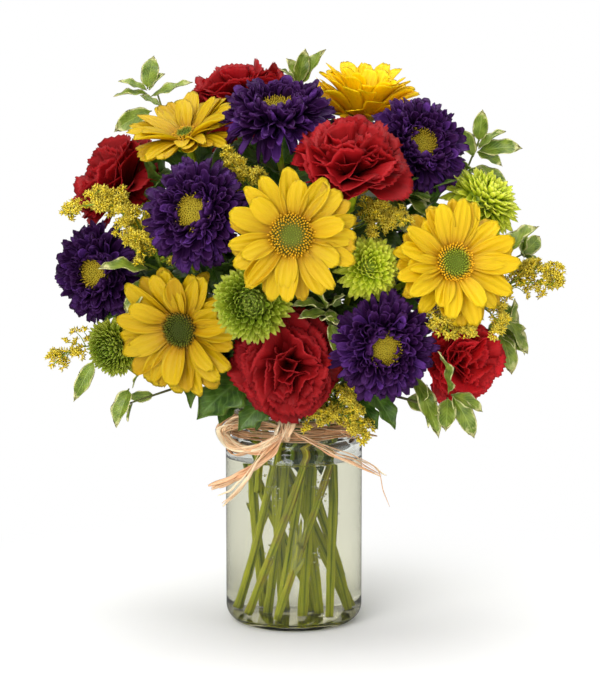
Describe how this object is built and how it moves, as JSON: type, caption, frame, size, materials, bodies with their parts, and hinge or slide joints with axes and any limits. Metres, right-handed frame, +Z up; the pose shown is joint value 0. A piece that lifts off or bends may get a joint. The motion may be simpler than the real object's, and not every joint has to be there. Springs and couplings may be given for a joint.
{
  "type": "bunch of chrysanthemums in a jar",
  "caption": "Hand-tied bunch of daisy, aster and button chrysanthemums with carnations, goldenrod and variegated foliage, standing in a clear glass jar of water with a raffia tie.",
  "frame": {"origin": "centre of the jar's flat base", "axes": "+Z up along the jar's axis, -Y towards the front of the bunch, +X to the right as seen from the front"},
  "size_m": [0.3183, 0.2802, 0.3842],
  "materials": {
    "jar_glass": "clear pressed glass with a faint green cast",
    "water": "clear water, stood in for by a clear gloss plastic",
    "raffia": "dry matt straw with lengthwise fibres",
    "yellow_petals": "satin ray petals with lengthwise grooves",
    "daisy_eye": "tight green disc florets, yellow-brown towards the edge",
    "purple_petals": "dark violet satin petals round a yellow disc",
    "red_petals": "velvety ruffled petals",
    "green_petals": "lime quilled petals",
    "goldenrod": "small yellow florets on thin green branchlets",
    "pittosporum": "waxy grey-green leaves with cream edges on dark twigs",
    "green_stem": "fresh green cut stems with dark green leaves"
  },
  "bodies": {
    "root": {"aster_1_head": "purple_petals", "aster_2_head": "purple_petals", "aster_3_head": "purple_petals", "aster_4_head": "purple_petals", "aster_5_head": "purple_petals", "aster_6_head": "purple_petals", "aster_stem_1": "green_stem", "aster_stem_2": "green_stem", "aster_stem_3": "green_stem", "aster_stem_4": "green_stem", "button_1_head": "green_petals", "button_2_head": "green_petals", "button_3_head": "green_petals", "button_4_head": "green_petals", "button_stem_1": "green_stem", "button_stem_2": "green_stem", "carnation_1_bloom": "red_petals", "carnation_2_bloom": "red_petals", "carnation_3_bloom": "red_petals", "carnation_4_bloom": "red_petals", "carnation_5_bloom": "red_petals", "carnation_6_bloom": "red_petals", "carnation_stem_1": "green_stem", "carnation_stem_2": "green_stem", "carnation_stem_3": "green_stem", "carnation_stem_4": "green_stem", "carnation_stem_5": "green_stem", "carnation_stem_6": "green_stem", "daisy_1_eye": "daisy_eye", "daisy_1_rays": "yellow_petals", "daisy_2_eye": "daisy_eye", "daisy_2_rays": "yellow_petals", "daisy_3_eye": "daisy_eye", "daisy_3_rays": "yellow_petals", "daisy_4_eye": "daisy_eye", "daisy_4_rays": "yellow_petals", "daisy_5_eye": "daisy_eye", "daisy_5_rays": "yellow_petals", "daisy_6_eye": "daisy_eye", "daisy_6_rays": "yellow_petals", "daisy_7_eye": "daisy_eye", "daisy_7_rays": "yellow_petals", "daisy_stem_1": "green_stem", "daisy_stem_2": "green_stem", "daisy_stem_3": "green_stem", "goldenrod_1": "goldenrod", "goldenrod_2": "goldenrod", "goldenrod_3": "goldenrod", "jar": "jar_glass", "pittosporum_1": "pittosporum", "pittosporum_2": "pittosporum", "pittosporum_3": "pittosporum", "pittosporum_4": "pittosporum", "raffia_tie": "raffia", "water": "water"}
  },
  "joints": []
}
